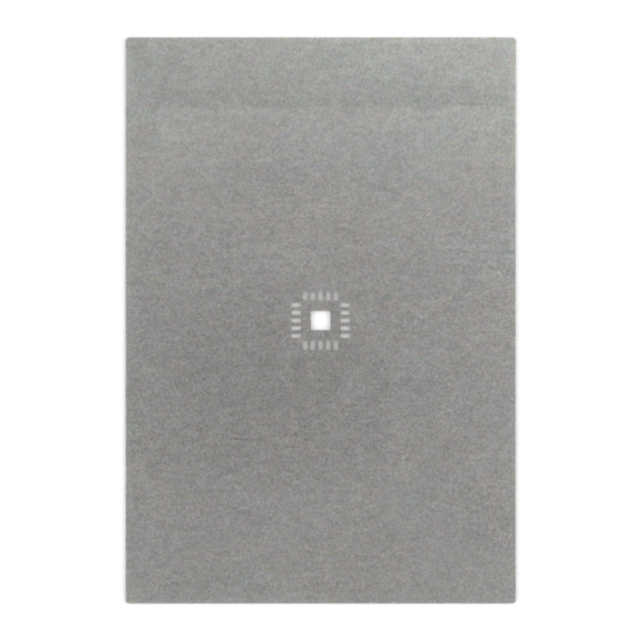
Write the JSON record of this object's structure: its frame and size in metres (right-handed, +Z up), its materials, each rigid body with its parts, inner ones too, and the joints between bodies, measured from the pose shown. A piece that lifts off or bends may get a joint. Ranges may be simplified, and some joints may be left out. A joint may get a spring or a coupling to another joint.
{
  "type": "solder paste stencil",
  "caption": "Flat rectangular steel foil with a square ring of small slots around a larger square hole, through which solder paste is wiped onto a circuit board.",
  "frame": {"origin": "centre of the aperture pattern on the board face, which is also the centre of the sheet", "axes": "+Z up out of the squeegee face, +Y along the long side of the sheet, +X along the short side"},
  "size_m": [0.0254, 0.0368, 0.0001],
  "materials": {
    "steel_foil": "matte rolled stainless foil with fine cross grain, faint scuffs and hairline scratches"
  },
  "bodies": {
    "root": {"stencil_sheet": "steel_foil"}
  },
  "joints": []
}
